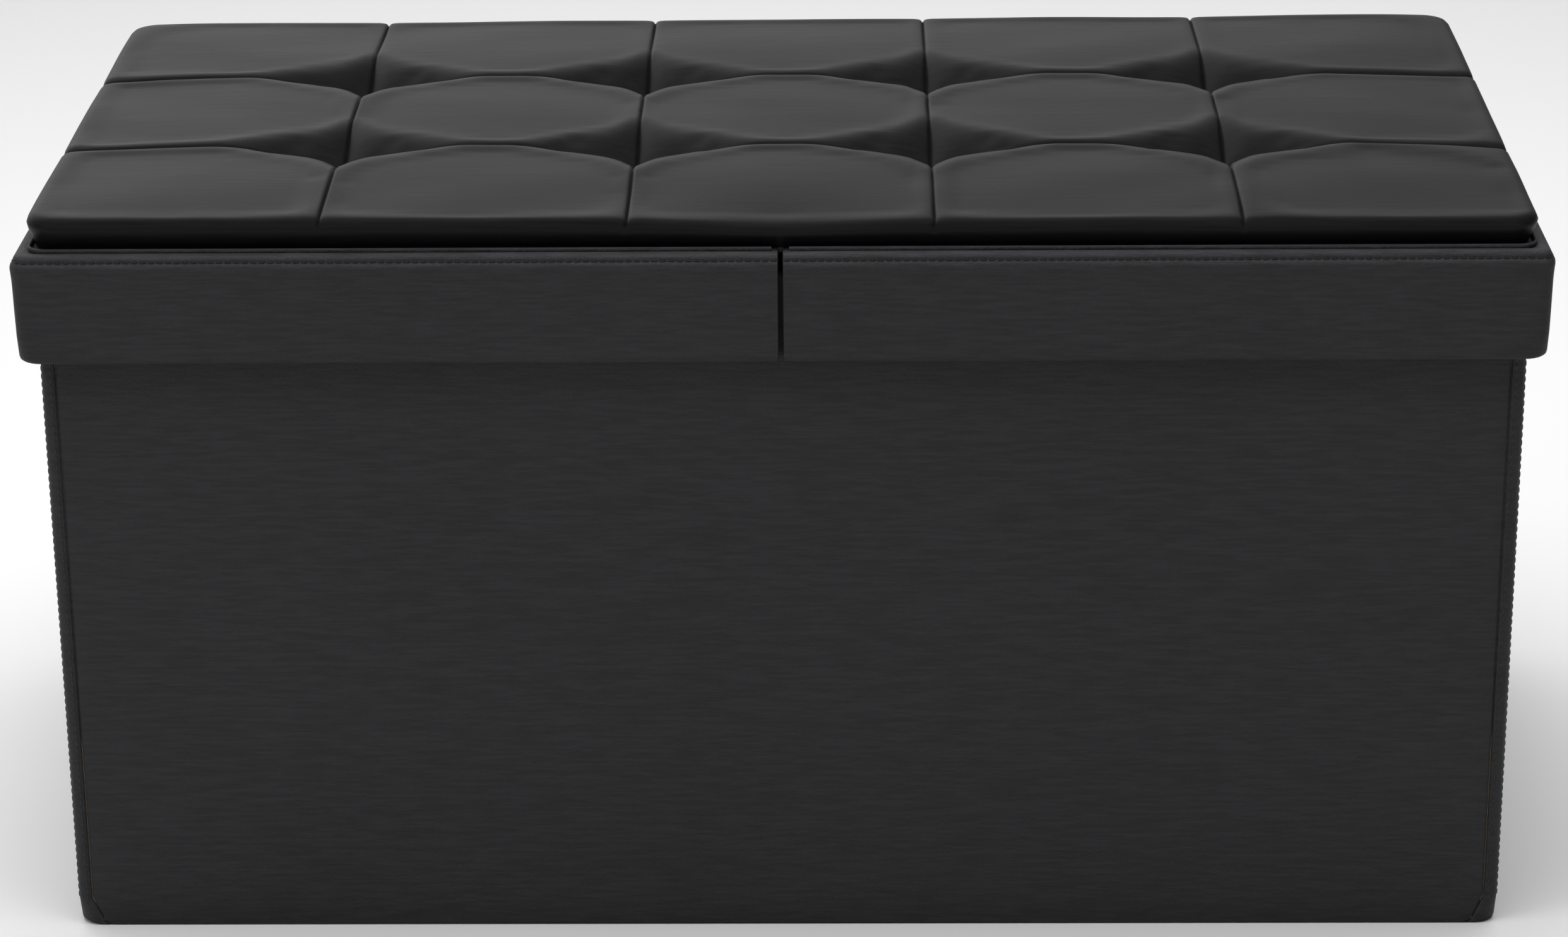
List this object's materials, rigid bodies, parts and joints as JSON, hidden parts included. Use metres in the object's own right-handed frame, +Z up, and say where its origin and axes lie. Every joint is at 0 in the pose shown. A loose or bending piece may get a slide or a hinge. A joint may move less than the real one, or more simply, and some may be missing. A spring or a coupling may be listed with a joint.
{
  "type": "ottoman with storage",
  "caption": "Long padded storage bench: a fabric-covered board box with a loose base board and a tufted lid that folds at its centre and lifts off.",
  "frame": {"origin": "on the floor under the centre of the box", "axes": "+X along the bench's length to the right, -Y is the front, +Z up"},
  "size_m": [0.762, 0.385, 0.3915],
  "materials": {
    "faux_leather": "satin",
    "wall_board": "matte",
    "foam": "matte",
    "lining_fabric": "matte",
    "webbing": "matte",
    "staple_steel": "satin",
    "washer_plastic": "matte",
    "twine": "matte"
  },
  "bodies": {
    "box": {"back_left_corner_strip": "faux_leather", "back_right_corner_strip": "faux_leather", "back_wall_board": "wall_board", "back_wall_cover": "faux_leather", "back_wall_lining": "lining_fabric", "bottom_fabric": "lining_fabric", "front_left_corner_strip": "faux_leather", "front_right_corner_strip": "faux_leather", "front_wall_board": "wall_board", "front_wall_cover": "faux_leather", "front_wall_lining": "lining_fabric", "left_wall_cover": "faux_leather", "left_wall_front_board": "wall_board", "left_wall_lining": "lining_fabric", "left_wall_rear_board": "wall_board", "right_wall_cover": "faux_leather", "right_wall_front_board": "wall_board", "right_wall_lining": "lining_fabric", "right_wall_rear_board": "wall_board"},
    "lid_hinge": {"hinge_tape": "webbing", "fold_foam": "foam", "fold_cover": "faux_leather"},
    "lid_left": {"left_back_skirt_board": "wall_board", "left_edge_welt": "faux_leather", "left_end_skirt_board": "wall_board", "left_foam_pad": "foam", "left_front_skirt_board": "wall_board", "left_hinge_tape_wing": "webbing", "left_lid_board": "wall_board", "left_lid_staples": "staple_steel", "left_lid_underside_lining": "lining_fabric", "left_skirt_cover": "faux_leather", "left_top_cover": "faux_leather", "left_tuft_twine": "twine", "left_tuft_washers": "washer_plastic"},
    "lid_right": {"right_back_skirt_board": "wall_board", "right_edge_welt": "faux_leather", "right_end_skirt_board": "wall_board", "right_foam_pad": "foam", "right_front_skirt_board": "wall_board", "right_hinge_tape_wing": "webbing", "right_lid_board": "wall_board", "right_lid_staples": "staple_steel", "right_lid_underside_lining": "lining_fabric", "right_skirt_cover": "faux_leather", "right_top_cover": "faux_leather", "right_tuft_twine": "twine", "right_tuft_washers": "washer_plastic"},
    "base_board": {"base_board": "wall_board", "base_board_wrap": "lining_fabric", "pull_tab_sewn_end": "webbing"},
    "pull_tab": {"pull_tab": "webbing"}
  },
  "joints": [
    {"name": "lid_lift", "type": "slide", "parent": "box", "child": "lid_hinge", "axis": [0, 0, 1], "range_m": [0, 0.15]},
    {"name": "lid_left_fold", "type": "hinge", "parent": "lid_hinge", "child": "lid_left", "pos_m": [0, 0, 0.3705], "axis": [0, 1, 0], "range_deg": [0, 85], "deforming": ["fold_foam", "fold_cover"]},
    {"name": "lid_right_fold", "type": "hinge", "parent": "lid_hinge", "child": "lid_right", "pos_m": [0, 0, 0.3705], "axis": [0, 1, 0], "range_deg": [-85, 0], "deforming": ["fold_foam", "fold_cover"]},
    {"name": "base_board_lift", "type": "slide", "parent": "box", "child": "base_board", "axis": [0, 0, 1], "range_m": [0, 0.28]},
    {"name": "pull_tab_flip", "type": "hinge", "parent": "base_board", "child": "pull_tab", "pos_m": [0, -0.138, 0.0089], "axis": [1, 0, 0], "range_deg": [0, 90]}
  ]
}
